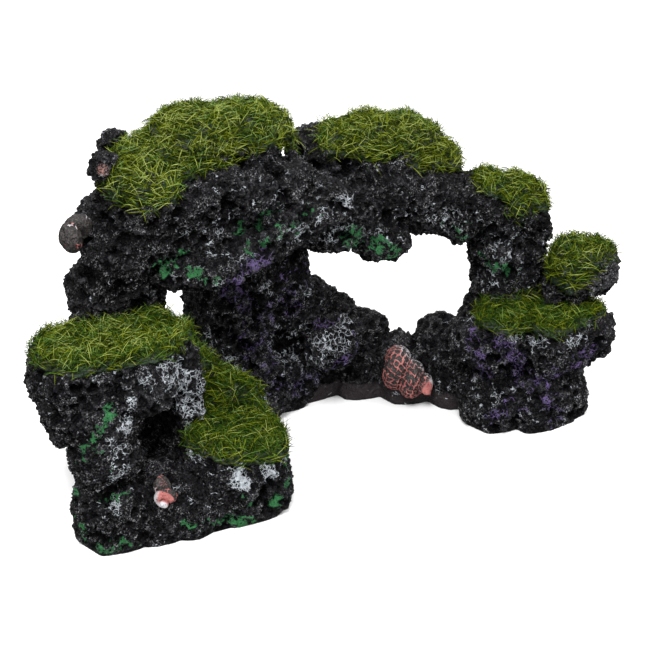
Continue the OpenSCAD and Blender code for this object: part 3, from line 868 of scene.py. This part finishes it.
def grass_piece(name, node, made):
    """All the fibres of one lawn as one mesh, with the attributes that the material reads."""
    points, faces, tone = made
    count, per = points.shape[:2]
    sizes = np.array([len(f) for f in faces])
    flat = np.concatenate([np.array(f) for f in faces])
    loops = (flat[None, :] + np.arange(count)[:, None] * per).ravel()
    starts = np.concatenate([[0], np.cumsum(np.tile(sizes, count))[:-1]])
    mesh = bpy.data.meshes.new(name)
    mesh.vertices.add(count * per)
    mesh.loops.add(len(loops))
    mesh.polygons.add(len(starts))
    mesh.vertices.foreach_set("co", points.reshape(-1).astype(np.float32))
    mesh.loops.foreach_set("vertex_index", loops.astype(np.int32))
    mesh.polygons.foreach_set("loop_start", starts.astype(np.int32))
    mesh.update(calc_edges=True)
    way = np.array([*np.repeat(RINGS, 3), 1.0])
    store(mesh, "tone", np.repeat(tone, per))
    store(mesh, "along", np.tile(way, count))
    # Every fibre of one tone shares a narrow strip of the map
    layer = mesh.uv_layers.new(name="OFBake")
    spot = np.array([*([0.15, 0.5, 0.85] * len(RINGS)), 0.5])
    strip = 0.5 / GRASS_TONES
    u = np.repeat(tone, len(flat)) + (np.tile(spot[flat], count) - 0.5) * strip
    v = 0.02 + 0.96 * np.tile(way[flat], count)
    layer.data.foreach_set("uv", np.stack([u, v], axis=1).ravel().astype(np.float32))
    smooth_shade(mesh)
    piece = new_object(name, mesh)
    mesh.materials.append(GRASS)
    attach(piece, "root")
    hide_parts(node)


# The grass, the bed that it stands on, the share of its fibres that are greener, and how pale
# they are
LAWNS = (
    ("head_grass", "head_bed", 0.28, 1.18), ("beam_grass", "beam_bed", 0.25, 1.12),
    ("step_block_grass", "step_block_bed", 0.25, 1.0), ("spur_grass", "spur_bed", 0.35, 1.0),
    ("ledge_grass", "ledge_bed", 0.45, 0.84), ("slab_grass", "slab_bed", 0.50, 1.0),
    ("front_step_grass", "front_step_bed", 0.45, 0.90),
)
for seed, (node, bed_node, green, bright) in enumerate(LAWNS):
    grass_piece("fibres_" + node, node, grass(bed_node, seed + 1, green, bright))
grass_piece("fibres_grass_tuft", "grass_tuft", grass("grass_tuft", 20, 0.3, 1.0, 0.4))

# ---------------------------------------------------------------- shells

# Corners along a turn of the tube and round it
SHELL_STEPS = 130
SHELL_AROUND = 72
# How narrow the net's ribs are, and how high, as a part of the tube's radius
NET_NARROW = 18
NET_HIGH = 0.11


def shell(name, node, base, axis, spin, radius, turns, taper, climb, net, paint):
    """A turban shell: one coiled tube that narrows to a round tip, with ribs crossing into a net.

    radius is the first whorl's tube, taper what is left of it after each turn, climb how fast it
    goes along the axis, and net the ribs and cords to a turn. paint gives the parts of the way
    along the axis where the solid paint starts and where it turns white, the share of the ribs
    that the paint has missed, and the way that the whiter side faces."""
    solid_from, white_from, bare, pale_side = paint
    along = Vector(axis).normalized()
    steps, around = int(turns * SHELL_STEPS), SHELL_AROUND
    t = np.linspace(0, 1, steps)
    tight = taper ** (t * turns)
    angle = t * turns * 2 * math.pi + spin
    tube = radius * tight
    # The ends of the tube close as half rounds
    close = np.sqrt(np.clip(1 - (1 - np.minimum(t / 0.04, 1)) ** 2, 0.0004, 1))
    close *= np.sqrt(np.clip(1 - ramp(t, 0.90, 1.0) ** 2, 0.0004, 1))
    orbit = 0.72 * tube * (1 - 0.8 * ramp(t, 0.75, 1.0))
    rise = climb * radius * (1 - tight)
    turn = np.linspace(0, 2 * math.pi, around, endpoint=False)
    grid_a, grid_t = np.meshgrid(angle, turn, indexing="ij")
    seeds = np.stack([grid_a * 3, np.cos(grid_t) * 3, np.sin(grid_t) * 3], axis=2).reshape(-1, 3)
    bent_a = grid_a + 0.08 * noise(seeds, 14).reshape(grid_a.shape)
    bent_t = grid_t + 0.18 * noise(seeds, 15).reshape(grid_a.shape)
    ribs = np.abs(np.sin(bent_a * net[0] / 2)) ** NET_NARROW
    cords = np.abs(np.sin(bent_t * net[1] / 2)) ** NET_NARROW
    way = (rise[:, None] + tube[:, None] * np.sin(grid_t)) / rise[-1]
    tip = ramp(way, solid_from, solid_from + 0.06)
    ridge = np.clip(np.maximum(ribs, cords), 0, 1) * (1 - tip)
    swell = (1 + NET_HIGH * (ridge - 0.35)) * close[:, None]
    out = orbit[:, None] + tube[:, None] * swell * np.cos(grid_t)
    z = rise[:, None] + tube[:, None] * swell * np.sin(grid_t)
    points = np.stack([out * np.cos(grid_a), out * np.sin(grid_a), z], axis=2).reshape(-1, 3)
    quads = []
    for i in range(steps - 1):
        for k in range(around):
            a, b = i * around + k, i * around + (k + 1) % around
            quads.append((a, a + around, b + around, b))
    ends = [tuple(range(around)), tuple((steps - 1) * around + k for k in range(around))[::-1]]
    mesh = bpy.data.meshes.new(name)
    mesh.from_pydata(points.tolist(), [], quads + ends)
    mesh.update()
    push_out(mesh, noise(points / (2.2 * MM), 5) * 0.20 * MM)
    turned = along.to_track_quat("Z", "Y").to_matrix().to_4x4()
    mesh.transform(Matrix.Translation(Vector(base)) @ turned)
    missed = ramp(noise(points / (5 * MM), 16), 0.5 - bare, 0.9 - bare)
    facing = normals(mesh) @ np.array(Vector(pale_side).normalized())
    store(mesh, "ridge", ridge.ravel() * (1 - 0.85 * missed))
    store(mesh, "solid", tip.ravel())
    white = ramp(way, white_from, white_from + 0.15).ravel()
    store(mesh, "whiter", np.maximum(white, ramp(facing, 0.35, 0.75)))
    smooth_shade(mesh)
    mesh.materials.append(SHELL)
    piece = new_object(name, mesh)
    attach(piece, "root")
    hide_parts(node)


shell(
    "turban", "turban_shell", at("turban_shell", 0.23, 0.70, 0.59), (0.52, -0.69, -0.50), 0.5,
    6.7 * MM, 2.5, 0.86, 11.2, (21, 12), (0.88, 2.0, 0.22, (0.9, 0.1, 0.6)),
)
shell(
    "grotto_whelk", "grotto_shell", at("grotto_shell", 0.62, 0.62, 0.60), (-0.67, -0.62, -0.43),
    2.0, 4.1 * MM, 2.0, 0.66, 4.4, (15, 9), (0.55, 0.85, 1.0, (-1, 0.5, 0)),
)
shell(
    "side_turban", "side_shell", at("side_shell", 0.55, 0.5, 0.5), (-0.93, 0.10, 0.17), 1.0,
    6.2 * MM, 2.2, 0.62, 2.0, (13, 9), (2.0, 2.0, 1.15, (0, 0, 1)),
)

# ---------------------------------------------------------------- floor and light

floor_mesh = bpy.data.meshes.new("floor")
floor_mesh.from_pydata([(-3, -3, 0), (3, -3, 0), (3, 3, 0), (-3, 3, 0)], [], [(0, 1, 2, 3)])
floor = new_object("floor", floor_mesh)
# A hair below the foot of the part, so that the two faces don't coincide
floor.location.z = -0.2 * MM
floor_tree = Tree("floor")
floor_tree.shader.inputs["Base Color"].default_value = (0.88, 0.88, 0.88, 1)
floor_tree.shader.inputs["Roughness"].default_value = 0.9
floor_mesh.materials.append(floor_tree.material)
floor.visible_glossy = False

world = bpy.data.worlds.new("studio")
bpy.context.scene.world = world
world.use_nodes = True
sky = world.node_tree.nodes["Background"]
sky.inputs["Color"].default_value = (1, 1, 1, 1)
# A broad soft light overhead, dimmer towards the walls
direction = world.node_tree.nodes.new("ShaderNodeTexCoord").outputs["Generated"]
split = world.node_tree.nodes.new("ShaderNodeSeparateXYZ")
world.node_tree.links.new(direction, split.inputs[0])
overhead = world.node_tree.nodes.new("ShaderNodeMapRange")
overhead.interpolation_type = "SMOOTHSTEP"
overhead.inputs["From Min"].default_value = -0.1
overhead.inputs["From Max"].default_value = 1.0
overhead.inputs["To Min"].default_value = 0.10
overhead.inputs["To Max"].default_value = 2.3
world.node_tree.links.new(split.outputs["Z"], overhead.inputs["Value"])
world.node_tree.links.new(overhead.outputs[0], sky.inputs["Strength"])


def soft_box(name, where, size, power):
    data = bpy.data.lights.new(name, "AREA")
    data.energy = power
    data.size = size
    light = bpy.data.objects.new(name, data)
    bpy.context.scene.collection.objects.link(light)
    light.location = where
    light.rotation_mode = "QUATERNION"
    light.rotation_quaternion = (CAMERA_TARGET - light.location).to_track_quat("-Z", "Y")


soft_box("key", Vector((-0.55, -0.75, 1.25)), 0.45, 22)
soft_box("fill", Vector((0.9, -0.9, 0.8)), 0.8, 6)

bpy.context.scene.view_settings.view_transform = "Standard"
